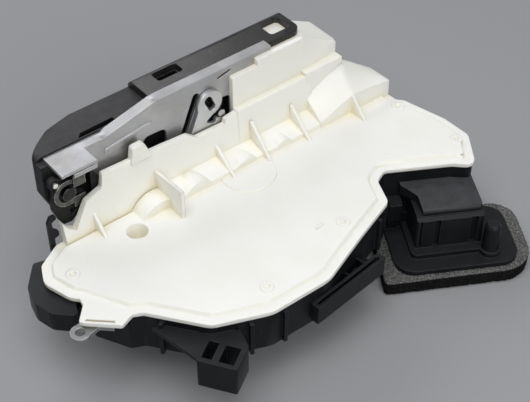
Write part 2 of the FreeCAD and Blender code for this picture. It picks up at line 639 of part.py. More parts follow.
def worm_wheel(wheel, crank_angle, mesh_angle):
    """Worm wheel with straight teeth, a rim, a hub and an upright crank pin."""
    root = MODULE * (WHEEL_TEETH / 2 - 1.25)
    tip = MODULE * (WHEEL_TEETH / 2 + 1)
    pitch = 360.0 / WHEEL_TEETH
    low = DRIVE_Z - WHEEL_THICKNESS / 2
    high = low + WHEEL_THICKNESS
    points = []
    for i in range(WHEEL_TEETH):
        middle = mesh_angle + (i + 0.5) * pitch
        for radius, share in ((root, -0.28), (tip, -0.13), (tip, 0.13), (root, 0.28)):
            points.append(polar(0, 0, radius, middle + share * pitch))
    dish = post(0, 0, root - 1.6, high - 1.2, high + 1)
    crank = polar(0, 0, CRANK_RADIUS, crank_angle)
    hub = post(0, 0, POST_RADIUS + POST_SHOULDER, low, high)
    pad = post(*crank, CRANK_PIN_RADIUS + 1.2, low, high)
    pin = post(*crank, CRANK_PIN_RADIUS, low, LEVER_Z + LEVER_THICKNESS + 0.8)
    shape = union([prism(points, low, high).cut(dish), hub, pad, pin])
    shape = shape.cut(post(0, 0, POST_RADIUS + BORE_CLEARANCE, low - 1, high + 1))
    return placed(shape, wheel[0], wheel[1], 0)


def worm(wheel, side, heading):
    """Single-start right-hand worm on its shaft, in mesh with its wheel."""
    root = WORM_PITCH_RADIUS - 1.25 * MODULE
    tip = WORM_PITCH_RADIUS + MODULE
    start = -WORM_LENGTH / 2
    helix = Part.makeHelix(WORM_LEAD, WORM_LENGTH, root)
    helix.translate(Vector(0, 0, start))
    profile = Part.makePolygon([Vector(root - 0.3, 0, start - 0.6), Vector(tip, 0, start - 0.22),
                                Vector(tip, 0, start + 0.22), Vector(root - 0.3, 0, start + 0.6),
                                Vector(root - 0.3, 0, start - 0.6)])
    thread = Part.Wire(helix).makePipeShell([profile], True, True)
    core = post(0, 0, root, start - 1.0, 1.0 - start)
    shape = placed(core.fuse(thread), 0, 0, 180 if side < 0 else 0)
    shape = turned_along_x(shape)
    motor_end = WORM_LENGTH / 2 + MOTOR_GAP + 5.0
    bearing_end = WORM_LENGTH / 2 + BEARING_GAP + BEARING_WIDTH
    ends = sorted((heading * motor_end, -heading * bearing_end))
    shape = shape.fuse(pin_x(0, 0, SHAFT_RADIUS, ends[0], ends[1]))
    shape.translate(Vector(wheel[0], worm_y(wheel, side), DRIVE_Z))
    return shape


def motor(wheel, side, heading):
    """Small motor: a can with two flats, an end cap and bearing bosses."""
    y = worm_y(wheel, side)
    start = wheel[0] + heading * (WORM_LENGTH / 2 + MOTOR_GAP)
    stop = start + heading * MOTOR_LENGTH
    low, high = min(start, stop), max(start, stop)
    can = pin_x(y, DRIVE_Z, MOTOR_WIDTH / 2, low, high)
    flats = box(low, high, y - MOTOR_WIDTH, y + MOTOR_WIDTH, DRIVE_Z - MOTOR_HEIGHT / 2,
                DRIVE_Z + MOTOR_HEIGHT / 2)
    front = pin_x(y, DRIVE_Z, 3.0, min(start, start - heading * 1.4), max(start, start - heading * 1.4))
    rear = pin_x(y, DRIVE_Z, 4.0, min(stop, stop + heading * 1.2), max(stop, stop + heading * 1.2))
    bore_stop = start + heading * 6.0
    bore = pin_x(y, DRIVE_Z, SHAFT_RADIUS + BORE_CLEARANCE, min(start - heading * 2, bore_stop),
                 max(start - heading * 2, bore_stop))
    return union([can.common(flats), front, rear]).cut(bore)


def drive_lever(wheel, pivot, crank_angle, tail_turn):
    """Lever with a fork slot round the wheel's crank pin and a shorter second arm."""
    crank = polar(*wheel, CRANK_RADIUS, crank_angle)
    reach = math.hypot(crank[0] - pivot[0], crank[1] - pivot[1])
    heading = math.degrees(math.atan2(crank[1] - pivot[1], crank[0] - pivot[0]))
    top = LEVER_Z + LEVER_THICKNESS
    shape = union([post(*pivot, POST_RADIUS + 2.6, LEVER_Z, top),
                   arm(*pivot, heading, reach + 2.0, 7.4, LEVER_Z, top),
                   arm(*pivot, heading + tail_turn, 12.0, 5.0, LEVER_Z, top)])
    shape = shape.cut(post(*pivot, POST_RADIUS + BORE_CLEARANCE, LEVER_Z - 1, top + 1))
    return shape.cut(slot(*pivot, heading, reach - 4.5, reach + 1.5, CRANK_PIN_RADIUS + FORK_CLEARANCE,
                          LEVER_Z - 1, top + 1))


def transfer_lever():
    """Lever that carries the inside handle's pull across the housing."""
    x, y = TRANSFER_PIVOT
    top = TRANSFER_Z + LEVER_THICKNESS
    heading = math.degrees(math.atan2(TAIL_Y - y, TAIL_X - x)) % 360
    reach = math.hypot(TAIL_X - x, TAIL_Y - y)
    shape = union([post(x, y, POST_RADIUS + 2.6, TRANSFER_Z, top),
                   arm(x, y, heading, reach + 2.8, 7.0, TRANSFER_Z, top),
                   arm(x, y, 94.0, 20.0, 5.5, TRANSFER_Z, top)])
    shape = shape.cut(post(x, y, POST_RADIUS + BORE_CLEARANCE, TRANSFER_Z - 1, top + 1))
    return shape.cut(slot(x, y, heading, reach - 1.6, reach + 2.6, TAIL_RADIUS + FORK_CLEARANCE,
                          TRANSFER_Z - 1,
                          top + 1))


def inside_release_lever():
    """Zinc lever whose eye sticks out under the cover's tab."""
    top = INSIDE_Z + INSIDE_THICKNESS
    blade = prism([(-103.0, -14.1), (-80.6, -9.9), (-66.6, -6.6, 2.0), (-66.6, -1.6, 2.0), (-80.0, -2.2),
                   (-101.0, -6.0)], INSIDE_Z, top)
    lip = placed(box(0, 10.6, 0, 1.2, INSIDE_Z, HOUSING_TOP_Z - RUNNING_GAP), -98.0, -9.3, TAB_ANGLE)
    shape = union([blade, post(*INSIDE_PIVOT, 4.4, INSIDE_Z, top), post(EYE_X, EYE_Y, 4.2, INSIDE_Z, top),
                   lip.common(prism([(-104.0, -12.0), (-80.0, -20.0), (-80.0, 0.0), (-104.0, 0.0)], -20,
                                    0)),
                   post(TAIL_X, TAIL_Y, TAIL_RADIUS, TRANSFER_Z, top)])
    shape = shape.cut(post(*INSIDE_PIVOT, POST_RADIUS + BORE_CLEARANCE, INSIDE_Z - 1, top + 1))
    return shape.cut(post(EYE_X, EYE_Y, EYE_RADIUS, INSIDE_Z - 1, top + 1))


def inside_lever_pin():
    top = INSIDE_Z + INSIDE_THICKNESS + RUNNING_GAP
    return post(*INSIDE_PIVOT, POST_RADIUS, FLOOR_Z + 2.0,
                top).fuse(post(*INSIDE_PIVOT, 3.2, top, top + 0.8))


def position_switches():
    """Three snap switches with their plungers."""
    switches = []
    low = FLOOR_Z + LEAD_THICKNESS
    for x, y, turn in SWITCHES:
        body = box(-6.4, 6.4, -2.9, 2.9, low,
                   low + 6.4).fuse(box(1.0, 2.6, -1.2, 1.2, low + 6.4, low + 7.6))
        switches.append(placed(body, x, y, turn))
    return Part.makeCompound(switches)


def track(points):
    """Flat metal track through points on the floor."""
    pieces = []
    for (x0, y0), (x1, y1) in zip(points, points[1:]):
        length = math.hypot(x1 - x0, y1 - y0)
        flat = box(-LEAD_WIDTH / 2, length + LEAD_WIDTH / 2, -LEAD_WIDTH / 2, LEAD_WIDTH / 2, FLOOR_Z,
                   FLOOR_Z + LEAD_THICKNESS)
        pieces.append(placed(flat, x0, y0, math.degrees(math.atan2(y1 - y0, x1 - x0))))
    return union(pieces)


def lead_frame():
    """Stamped tracks from the switches to the plug socket, cleared round the floor's posts."""
    routes = (((-10.0, 8.0), (-10.0, -6.0), (48.0, -6.0), (76.0, -8.0)),
              ((-38.0, 3.5), (-20.0, 3.5), (-20.0, -9.6), (46.0, -9.6), (76.0, -12.0)),
              ((28.0, -24.0), (40.0, -13.2), (76.0, -16.0)))
    tracks = Part.makeCompound([track(route) for route in routes])
    return tracks.cut(union(inner_fittings()))


# Plug socket

def socket_box(u, v, z0, z1, corner=0.0):
    """Block in the socket's axes with rounded upright edges."""
    points = [(u[0], v[0], corner), (u[1], v[0], corner), (u[1], v[1], corner), (u[0], v[1], corner)]
    return prism(points, z0, z1)


def socket_placed(shape):
    return placed(shape, 0, 0, SOCKET_TURN)


def clear_of_housing(shape):
    """Trim a shape back to the outside of the housing."""
    return shape.cut(raised(housing_face(0), HOUSING_BOTTOM_Z, 0))


def connector_housing():
    """Plug socket: flange plate, stepped block with grooves, guide peg and open cavity."""
    flange_top = FLANGE_Z + FLANGE_THICKNESS
    plinth_top = flange_top + 2.6
    block = socket_box(BLOCK_U, BLOCK_V, flange_top, BLOCK_TOP_Z, 1.2)
    bevel = plate_yz([(BLOCK_V[0] - 1, BLOCK_TOP_Z - 2.2), (BLOCK_V[0] - 1, BLOCK_TOP_Z + 1),
                      (BLOCK_V[0] + 2.4, BLOCK_TOP_Z + 1), (BLOCK_V[0] + 1.8, BLOCK_TOP_Z - 0.6)], 60, 110)
    grooves = [socket_box(span, (BLOCK_V[0] - 1, BLOCK_V[0] + 1.4), plinth_top, BLOCK_TOP_Z - 1.6)
               for span in ((68.6, 69.8), (75.4, 78.0), (92.2, 95.2))]
    taper_top = -18.2
    peg = Part.makeCone(4.2, 3.7, taper_top - flange_top, Vector(PEG_U, PEG_V, flange_top))
    tip = Part.makeCone(3.7, 2.4, 1.8, Vector(PEG_U, PEG_V, taper_top))
    shapes = [socket_box(FLANGE_U, FLANGE_V, FLANGE_Z, flange_top, FLANGE_CORNER),
              socket_box((65.0, 98.6), (-13.4, 14.0), flange_top, plinth_top, 3.0),
              block.cut(union([bevel] + grooves)), peg, tip,
              post(PEG_U, PEG_V, 5.0, flange_top, plinth_top),
              socket_box((58.0, 64.0), (5.0, 16.0), HOUSING_BOTTOM_Z - 4.6, -16.6, 0.8),
              socket_box((59.0, 63.0), (8.0, 16.0), flange_top, HOUSING_BOTTOM_Z - 4.0),
              socket_box((60.0, 71.0), (9.0, 16.0), flange_top, HOUSING_BOTTOM_Z - 4.0)]
    cavity = socket_box(CAVITY_U, CAVITY_V, FLANGE_Z - 1, CAVITY_TOP_Z, 1.0)
    return clear_of_housing(socket_placed(union(shapes).cut(cavity)))


def connector_hood():
    """Curved lid over the socket's block."""
    low = BLOCK_TOP_Z
    across = plate_yz([(18.0, low), (18.0, -8.4), (6.0, -8.6, 12.0), (-6.4, -10.8, 2.0),
                       (-6.9, low + 0.9, 0.5),
                       (-6.2, low)], 60, 105)
    along = plate_xz([(62.0, low), (62.0, -8.0), (97.8, -8.0, 5.0), (98.2, low)], -20, 20)
    plan = prism([(63.0, 18.0), (63.4, 9.6), (69.6, 2.4, 1.5), (70.2, -8.4, 1.5), (95.6, -8.4, 4.5),
                  (99.0, -1.0, 3.0),
                  (99.0, 18.0)], low, 0)
    return clear_of_housing(socket_placed(across.common(along).common(plan)))


def connector_pins():
    """Two rows of contact blades in the socket's cavity."""
    blades = []
    for row in (-2.6, 2.6):
        for i in range(6):
            u = CAVITY_U[0] + 2.2 + 3.1 * i
            blades.append(socket_box((u - 0.35, u + 0.35), (row - 0.7, row + 0.7),
                                     CAVITY_TOP_Z - CONTACT_LENGTH,
                                     CAVITY_TOP_Z))
    return socket_placed(Part.makeCompound(blades))


def foam_gasket():
    """Thick soft gasket under the flange plate."""
    pad = prism(FOAM_OUTLINE, FLANGE_Z - FOAM_THICKNESS, FLANGE_Z)
    hole = socket_box(FOAM_HOLE_U, FOAM_HOLE_V, FLANGE_Z - FOAM_THICKNESS - 1, FLANGE_Z + 1, 3.0)
    return socket_placed(pad.cut(hole))


# Latch

def stud_window(y0, y1):
    """Opening that the pawl's stud moves in."""
    return plate_xz([(-3.0, 15.0), (11.2, 15.0), (11.2, 30.6, 3.0), (0.0, 30.6, 2.0), (-3.0, 24.0)], y0, y1)


def side_window(y0, y1):
    """Window with a rounded top, left of the release lever."""
    return plate_xz([(-37.0, 8.0), (-23.6, 8.0), (-23.6, 29.0, 3.0), (-35.4, 29.6, 3.0)], y0, y1)


def lever_slot(y0, y1):
    """Slanted slot beside the release lever's neck."""
    return capsule_xz(-7.4, 37.6, -14.6, 20.6, 1.8, y0, y1)


def eye_hole(y0, y1):
    """Clearance hole behind the release lever's eye."""
    return pin_y(-1.6, 32.5, 3.8, y0, y1)


def face_plate():
    """Bent steel plate: upright face with the mouth, and a top strip with two windows."""
    face = plate_xz([(PLATE_LEFT_X, PLATE_BOTTOM_Z, 6.0), (-13.0, PLATE_BOTTOM_Z, 2.0),
                     (-MOUTH_HALF, PLATE_BOTTOM_Z + 9.0, 4.0), (-MOUTH_HALF, MOUTH_TOP_Z, 6.5),
                     (MOUTH_HALF, MOUTH_TOP_Z, 6.5), (MOUTH_HALF, PLATE_BOTTOM_Z + 9.0, 4.0),
                     (13.0, PLATE_BOTTOM_Z, 2.0), (PLATE_RIGHT_X, PLATE_BOTTOM_Z, 6.0),
                     (PLATE_RIGHT_X, PLATE_LOW_TOP_Z), (PLATE_LEFT_X, PLATE_LOW_TOP_Z, 4.0)],
                    FACE_INNER_Y, FACE_OUTER_Y)
    strip_under = STRIP_TOP_Z - FACE_THICKNESS
    bend = plate_yz([(FACE_OUTER_Y, PLATE_LOW_TOP_Z), (FACE_OUTER_Y, STRIP_TOP_Z, 4.0),
                     (STRIP_FRONT_Y, STRIP_TOP_Z),
                     (STRIP_FRONT_Y, strip_under), (FACE_INNER_Y, strip_under, 1.0),
                     (FACE_INNER_Y, PLATE_LOW_TOP_Z)],
                    STRIP_LEFT_X, PLATE_RIGHT_X)
    corners = prism([(STRIP_LEFT_X, STRIP_FRONT_Y), (PLATE_RIGHT_X, STRIP_FRONT_Y, 4.0),
                     (PLATE_RIGHT_X, FACE_OUTER_Y), (STRIP_LEFT_X, FACE_OUTER_Y)], PLATE_LOW_TOP_Z,
                     STRIP_TOP_Z)
    windows = [prism([(-18.0, 49.6, 1.2), (-5.0, 49.6, 1.2), (-5.0, 55.8, 1.2), (-18.0, 55.8, 1.2)],
                     strip_under - 1, STRIP_TOP_Z + 1),
               prism([(40.6, 45.6, 1.8), (51.4, 45.6, 1.8), (51.4, 55.4, 1.8), (40.6, 55.4, 1.8)],
                     strip_under - 1, STRIP_TOP_Z + 1)]
    collars = [pin_y(x, z, BOLT_COLLAR_RADIUS, FACE_INNER_Y - BOLT_COLLAR, FACE_INNER_Y) for x, z in BOLTS]
    shape = union([face, bend.common(corners)] + collars)
    holes = [pin_y(x, z, BOLT_RADIUS, 40, FACE_OUTER_Y + 1) for x, z in BOLTS]
    holes += [pin_y(CLAW_X, CLAW_Z, CLAW_PIN_RADIUS, 40, FACE_OUTER_Y + 1),
              pin_y(PAWL_X, PAWL_Z, PAWL_PIN_RADIUS, 40, FACE_OUTER_Y + 1)]
    return shape.cut(union(holes + windows))


def back_flange(y0, y1, drop):
    """Top flange of the back plate, which climbs from its low left end."""
    slope_left, slope_right = -54.0, -28.0
    return plate_xz([(TAB_LEFT_X, BACK_LOW_TOP_Z - drop), (slope_left, BACK_LOW_TOP_Z - drop),
                     (slope_right, BACK_TOP_Z - drop), (34.0, BACK_TOP_Z - drop), (34.0, BACK_TOP_Z),
                     (slope_right, BACK_TOP_Z, 12.0), (slope_left, BACK_LOW_TOP_Z, 12.0),
                     (TAB_LEFT_X, BACK_LOW_TOP_Z)], y0, y1)


def back_plate():
    """Bright zinc-plated sheet with a top flange, a tab, an embossed rib and openings."""
    sheet = plate_xz([(TAB_RIGHT_X, 28.6), (-57.0, 14.4), (-57.0, -22.0, 4.0), (34.0, -22.0, 4.0),
                      (34.0, BACK_TOP_Z - 1.0), (-28.0, BACK_TOP_Z - 1.0), (-54.0, BACK_LOW_TOP_Z - 1.0),
                      (TAB_RIGHT_X, BACK_LOW_TOP_Z - 1.0)], BACK_PLATE_Y, CASE_FRONT_Y)
    tab_low_z = BACK_LOW_TOP_Z - BACK_THICKNESS
    tab = box(TAB_LEFT_X, TAB_RIGHT_X, TAB_FRONT_Y, BACK_FLANGE_Y, tab_low_z, BACK_LOW_TOP_Z)
    lip = box(TAB_RIGHT_X - TAB_LIP, TAB_RIGHT_X, TAB_FRONT_Y, TAB_FRONT_Y + BACK_THICKNESS,
              tab_low_z - 2.6, tab_low_z)
    groove = box(TAB_RIGHT_X - TAB_LIP - 1, TAB_RIGHT_X + 1, TAB_FRONT_Y - 1, TAB_FRONT_Y + 0.7,
                 tab_low_z - 0.6,
                 tab_low_z)
    emboss = capsule_xz(-53.4, 32.3, -31.8, 35.2, 1.5, BACK_PLATE_Y - 0.7, BACK_PLATE_Y)
    shape = union([sheet, back_flange(BACK_PLATE_Y, BACK_FLANGE_Y, BACK_THICKNESS), tab, lip, emboss])
    cuts = [groove, side_window(37, 42), lever_slot(37, 42), stud_window(37, 42), eye_hole(37, 42),
            capsule_xz(5.0, 42.0, 11.0, 43.4, 0.6, 37, 42),
            pin_y(CLAW_X, CLAW_Z, CLAW_PIN_RADIUS, 37, 42), pin_y(PAWL_X, PAWL_Z, PAWL_PIN_RADIUS, 37, 42)]
    for x, z in pad_centres():
        cuts.append(pin_y(x, z - 3.5, SCREW_RADIUS, 37, 42))
        cuts.append(pin_y(x, z + 3.5, PEG_RADIUS, 37, 42))
    return shape.cut(union(cuts))


def latch_pocket():
    """Room for the claw, the pawl and the striker, open towards the face plate."""
    rear = FACE_INNER_Y + 1
    claw_room = CLAW_RADIUS + POCKET_GAP
    catch_room = CLAW_CATCH_RADIUS + JACKET_THICKNESS + POCKET_GAP
    pawl_room = plate_xz([(-7.0, 17.0), (-6.0, 33.4, 2.0), (8.0, 35.0, 3.0), (27.0, 22.0, 3.0),
                          (28.4, 4.0, 5.0),
                          (12.0, 3.0, 2.0)], POCKET_Y, rear)
    mouth = plate_xz([(-13.0, -30.0), (-MOUTH_HALF, PLATE_BOTTOM_Z + 9.0), (-MOUTH_HALF, MOUTH_TOP_Z, 6.5),
                      (MOUTH_HALF, MOUTH_TOP_Z, 6.5), (MOUTH_HALF, PLATE_BOTTOM_Z + 9.0), (13.0, -30.0)],
                     POCKET_Y, rear)
    return union([sector_xz(CLAW_X, CLAW_Z, claw_room, -45, 60, POCKET_Y, rear),
                  sector_xz(CLAW_X, CLAW_Z, claw_room, 60, 165, POCKET_Y, rear),
                  pin_y(CLAW_X, CLAW_Z, catch_room, POCKET_Y, rear), pawl_room, mouth])


def latch_housing():
    """Black moulded case that carries the claw and the pawl, with a rounded lobe at its left."""
    front_view = plate_xz([(-84.0, CASE_TOP_Z, 3.0), (-84.0, 22.0, 3.0), (-78.0, 8.0, 4.0),
                           (-66.0, 2.0, 3.0),
                           (-60.0, -14.0, 5.0), (-50.0, -23.5, 5.0), (34.0, -23.5, 5.0), (46.0, -20.0, 5.0),
                           (52.0, -10.0, 5.0), (52.0, 19.5, 2.0), (CASE_RIGHT_X, 19.5),
                           (CASE_RIGHT_X, CASE_TOP_Z)],
                          CASE_FRONT_Y, FACE_OUTER_Y)
    plan = prism([(-84.0, CASE_FRONT_Y), (-84.0, 46.0, 2.0), (-79.0, 50.6, 5.0), (-71.0, 56.2, 8.0),
                  (PLATE_LEFT_X, FACE_OUTER_Y - 0.3), (PLATE_LEFT_X, FACE_INNER_Y), (60.0, FACE_INNER_Y),
                  (60.0, CASE_FRONT_Y)], -40, 60)
    lip = box(PLATE_LEFT_X, STRIP_LEFT_X, FACE_INNER_Y - 1, FACE_OUTER_Y - 0.3, PLATE_LOW_TOP_Z, CASE_TOP_Z)
    crown = box(STRIP_LEFT_X, CASE_RIGHT_X, BACK_FLANGE_Y + 0.4, FACE_INNER_Y - 1.0, CASE_TOP_Z - 1,
                STRIP_TOP_Z - FACE_THICKNESS)
    flap = union([plate_xz([(-64.0, 15.0), (-59.4, 15.0), (-59.4, 18.4), (-64.0, 28.0)], 35.6,
                           CASE_FRONT_Y + 1),
                  plate_xz([(-64.0, 15.0), (-59.0, 15.0), (-57.6, 19.0), (-64.0, 31.0)], 35.6,
                           BACK_PLATE_Y)])
    recess = prism([(-62.9, 43.6), (-60.6, 46.1), (-44.4, 46.4), (-44.6, 43.6)], CASE_TOP_Z - 3.0,
                   CASE_TOP_Z + 5)
    shape = union([front_view.common(plan), lip, crown, flap])
    step = plate_xz([(-90.0, BACK_LOW_TOP_Z - BACK_THICKNESS), (-54.0, BACK_LOW_TOP_Z - BACK_THICKNESS),
                     (-28.0, BACK_TOP_Z - BACK_THICKNESS), (-28.0, 60.0), (-90.0, 60.0)], CASE_FRONT_Y - 1,
                     BACK_FLANGE_Y)
    cuts = [latch_pocket(), step, recess, stud_window(CASE_FRONT_Y - 1, POCKET_Y + 1),
            side_window(CASE_FRONT_Y - 1, CASE_FRONT_Y + 2.4),
            lever_slot(CASE_FRONT_Y - 1, CASE_FRONT_Y + 2.4),
            eye_hole(CASE_FRONT_Y - 1, CASE_FRONT_Y + 2.4),
            box(-17.0, -6.0, 50.2, 55.2, 36.5, 50.0), box(-66.0, -60.0, 50.0, 70.0, 17.0, 27.0),
            pin_y(CLAW_X, CLAW_Z, CLAW_PIN_RADIUS, 30, 60), pin_y(PAWL_X, PAWL_Z, PAWL_PIN_RADIUS, 30, 60),
            pin_y(KEY_X, KEY_Z, KEY_PIN_RADIUS, 30, 45.0)]
    for x, z in BOLTS:
        cuts.append(pin_y(x, z, BOLT_COLLAR_RADIUS, FACE_INNER_Y - BOLT_COLLAR, 60))
        cuts.append(pin_y(x, z, BOLT_RADIUS + 1.0, POCKET_Y + 2, 60))
    for x, z in pad_centres():
        cuts.append(pin_y(x, z - 3.5, SCREW_RADIUS, 30, SCREW_END_Y))
    return shape.cut(union(cuts))


def claw_slot(half_width, y0, y1):
    """Straight throat of the claw, open downwards at rest."""
    return capsule_xz(0, CLAW_SLOT_Z, 0, -40.0, half_width, y0, y1)


def claw():
    """Rotary latch claw: a toothed arm that the striker pushes and a catch arm that holds it."""
    y0, y1 = CLAW_FRONT_Y, CLAW_REAR_Y
    shape = union([pin_y(CLAW_X, CLAW_Z, CLAW_HUB_RADIUS, y0, y1),
                   sector_xz(CLAW_X, CLAW_Z, CLAW_RADIUS, 16, 75, y0, y1),
                   sector_xz(CLAW_X, CLAW_Z, CLAW_STEP_RADIUS, -16, 16, y0, y1),
                   sector_xz(CLAW_X, CLAW_Z, CLAW_CATCH_RADIUS, -122, -50, y0, y1)])
    bore = pin_y(CLAW_X, CLAW_Z, CLAW_PIN_RADIUS + BORE_CLEARANCE, y0 - 1, y1 + 1)
    return shape.cut(union([claw_slot(CLAW_SLOT_HALF, y0 - 1, y1 + 1), bore]))


def claw_jacket():
    """Moulded jacket round the claw's hub and catch arm, which quietens the striker."""
    y0, y1 = CLAW_FRONT_Y - JACKET_OVERHANG, CLAW_REAR_Y + JACKET_OVERHANG
    body = union([pin_y(CLAW_X, CLAW_Z, CLAW_HUB_RADIUS + JACKET_THICKNESS, y0, y1),
                  sector_xz(CLAW_X, CLAW_Z, CLAW_RADIUS - 4.5, 22, 70, y0, y1),
                  sector_xz(CLAW_X, CLAW_Z, CLAW_CATCH_RADIUS + JACKET_THICKNESS, -126, -50, y0, y1)])
    bore = pin_y(CLAW_X, CLAW_Z, CLAW_PIN_RADIUS + 1.6, y0 - 1, y1 + 1)
    return body.cut(union([claw_slot(CLAW_SLOT_HALF, y0 - 1, y1 + 1), bore, claw()]))


def pawl():
    """Pawl whose tip rides on the claw's toothed arm, with the stud that the release lever lifts."""
    y0, y1 = CLAW_FRONT_Y - 0.5, CLAW_REAR_Y + 0.5
    blade = plate_xz([(-3.0, 21.5), (-2.2, 27.5, 1.0), (8.0, 28.2, 3.0), (21.0, 18.8, 3.0), (24.0, 12.0),
                      (13.5, 9.0), (8.6, 14.6, 4.0), (3.5, 20.3, 2.0)], y0, y1)
    shape = union([blade, pin_y(PAWL_X, PAWL_Z, PAWL_BOSS_RADIUS, y0, y1),
                   pin_y(STUD_X, STUD_Z, STUD_RADIUS, RELEASE_FRONT_Y, y1)])
    arm_room = pin_y(CLAW_X, CLAW_Z, CLAW_RADIUS + RUNNING_GAP, y0 - 1, y1 + 1)
    return shape.cut(arm_room.fuse(pin_y(PAWL_X, PAWL_Z, PAWL_PIN_RADIUS + BORE_CLEARANCE, y0 - 1, y1 + 1)))


def claw_pin():
    """Riveted axle through both plates, with the head that keeps the release lever on."""
    head_rear = RELEASE_FRONT_Y - RUNNING_GAP
    shank = pin_y(CLAW_X, CLAW_Z, CLAW_PIN_RADIUS, head_rear, FACE_OUTER_Y)
    return shank.fuse(pin_y(CLAW_X, CLAW_Z, CLAW_PIN_RADIUS + 1.8, head_rear - 0.9, head_rear))


def pawl_pin():
    return pin_y(PAWL_X, PAWL_Z, PAWL_PIN_RADIUS, BACK_PLATE_Y, FACE_OUTER_Y)


def coil_spring(x, z, radius, turns, leg_angle, leg):
    """Leg spring wound round a pin on the floor of the case."""
    pitch = SPRING_WIRE * 2 + 0.02
    helix = Part.makeHelix(pitch, turns * pitch, radius)
    corners = [polar(radius, 0, SPRING_WIRE, 60 * i) for i in range(7)]
    profile = Part.makePolygon([Vector(x, 0, z) for x, z in corners])
    coil = Part.Wire(helix).makePipeShell([profile], True, True)
    foot = Part.Face(profile).extrude(Vector(0, -leg, 0))
    spring = placed(coil.fuse(foot), 0, 0, leg_angle)
    spring = turned_along_y(spring)
    spring.translate(Vector(x, POCKET_Y + SPRING_WIRE, z))
    return spring


def rubber_buffer():
    """Block that stops the striker at the top of the mouth."""
    return plate_xz([(-5.6, 16.6, 1.0), (5.6, 16.6, 1.0), (5.6, 21.0, 1.0), (-5.6, 21.0, 1.0)], POCKET_Y,
                    CLAW_FRONT_Y - JACKET_OVERHANG - RUNNING_GAP)


def release_lever():
    """Outside release lever on the claw's axle, with a slotted head and a lifting arm."""
    y0, y1 = RELEASE_FRONT_Y, RELEASE_REAR_Y
    body = plate_xz([(-20.4, 1.0), (-11.6, 22.0), (-7.9, 31.0), (-1.6, 32.5), (3.6, 28.4),
                     (-4.6, 23.4, 1.0),
                     (0.6, 20.6, 0.6), (1.6, 23.1), (9.4, 20.25), (9.2, 16.6, 1.5), (-3.0, 16.4, 3.0),
                     (-4.8, 2.0)], y0, y1)
    shape = union([body, pin_y(CLAW_X, CLAW_Z, 8.2, y0, y1), pin_y(-1.6, 32.5, 6.5, y0, y1)])
    eye = capsule_xz(-2.5, 34.6, -0.7, 30.4, 2.0, y0 - 1, y1 + 1)
    bore = pin_y(CLAW_X, CLAW_Z, CLAW_PIN_RADIUS + BORE_CLEARANCE, y0 - 1, y1 + 1)
    return shape.cut(union([eye, bore]))


# Key lever

def key_lever():
    """Black lever that the lock cylinder turns, with a jaw to its right."""
    y1 = CASE_FRONT_Y - RUNNING_GAP
    body = plate_xz([(KEY_X - 6.6, KEY_Z + 3.0, 4.0), (KEY_X - 1.0, KEY_Z + 8.6, 3.0),
                     (KEY_X + 8.0, KEY_Z + 8.0, 1.0),
                     (KEY_X + 8.0, KEY_Z + 2.4), (KEY_X + 4.6, KEY_Z + 1.8), (KEY_X + 4.6, KEY_Z - 3.4),
                     (KEY_X + 8.0, KEY_Z - 4.0), (KEY_X + 8.0, KEY_Z - 9.8, 1.0),
                     (KEY_X + 0.8, KEY_Z - 17.0, 1.5),
                     (KEY_X - 4.0, KEY_Z - 16.4, 2.0), (KEY_X - 7.2, KEY_Z - 7.6, 4.0)], KEY_FRONT_Y, y1)
    lobe = pin_y(*KEY_STUD, 2.8, KEY_FRONT_Y, y1)
    notch = plate_xz([(KEY_X + 4.4, KEY_Z - 10.6), (KEY_X + 1.0, KEY_Z - 14.4),
                      (KEY_X + 0.4, KEY_Z - 10.0)],
                     KEY_FRONT_Y - 1, y1 + 1)
    holes = [notch, pin_y(KEY_X, KEY_Z, KEY_PIN_RADIUS + BORE_CLEARANCE, 30, 45),
             pin_y(*KEY_STUD, 1.2, 30, 45)]
    return body.fuse(lobe).cut(union(holes))


def key_fork():
    """Steel jaw ring on the key lever with two square driving lugs, and the lever's rivet."""
    ring = pin_y(KEY_X, KEY_Z, 6.6, KEY_FORK_Y, KEY_FRONT_Y).cut(pin_y(KEY_X, KEY_Z, 4.6, 30, 45))
    lugs = [box(KEY_X + 2.4, KEY_X + 8.0, y, KEY_FRONT_Y, z, z + 5.4)
            for y, z in ((KEY_FORK_Y - 1.3, KEY_Z + 2.8), (KEY_FORK_Y, KEY_Z - 9.0))]
    jaw = union([ring] + lugs).cut(box(KEY_X, KEY_X + 9.0, 30, 45, KEY_Z - 3.6, KEY_Z + 2.8))
    rivet = pin_y(*KEY_STUD, 1.2, KEY_FRONT_Y - 0.9, CASE_FRONT_Y - 2 * RUNNING_GAP)
    return Part.makeCompound([jaw, rivet])


def key_pin():
    """Headed pin that the key lever turns on, pressed into the case."""
    head_rear = KEY_FORK_Y - RUNNING_GAP
    shank = pin_y(KEY_X, KEY_Z, KEY_PIN_RADIUS, head_rear, 45.0)
    return shank.fuse(pin_y(KEY_X, KEY_Z, KEY_PIN_RADIUS + 0.7, head_rear - 0.8, head_rear))


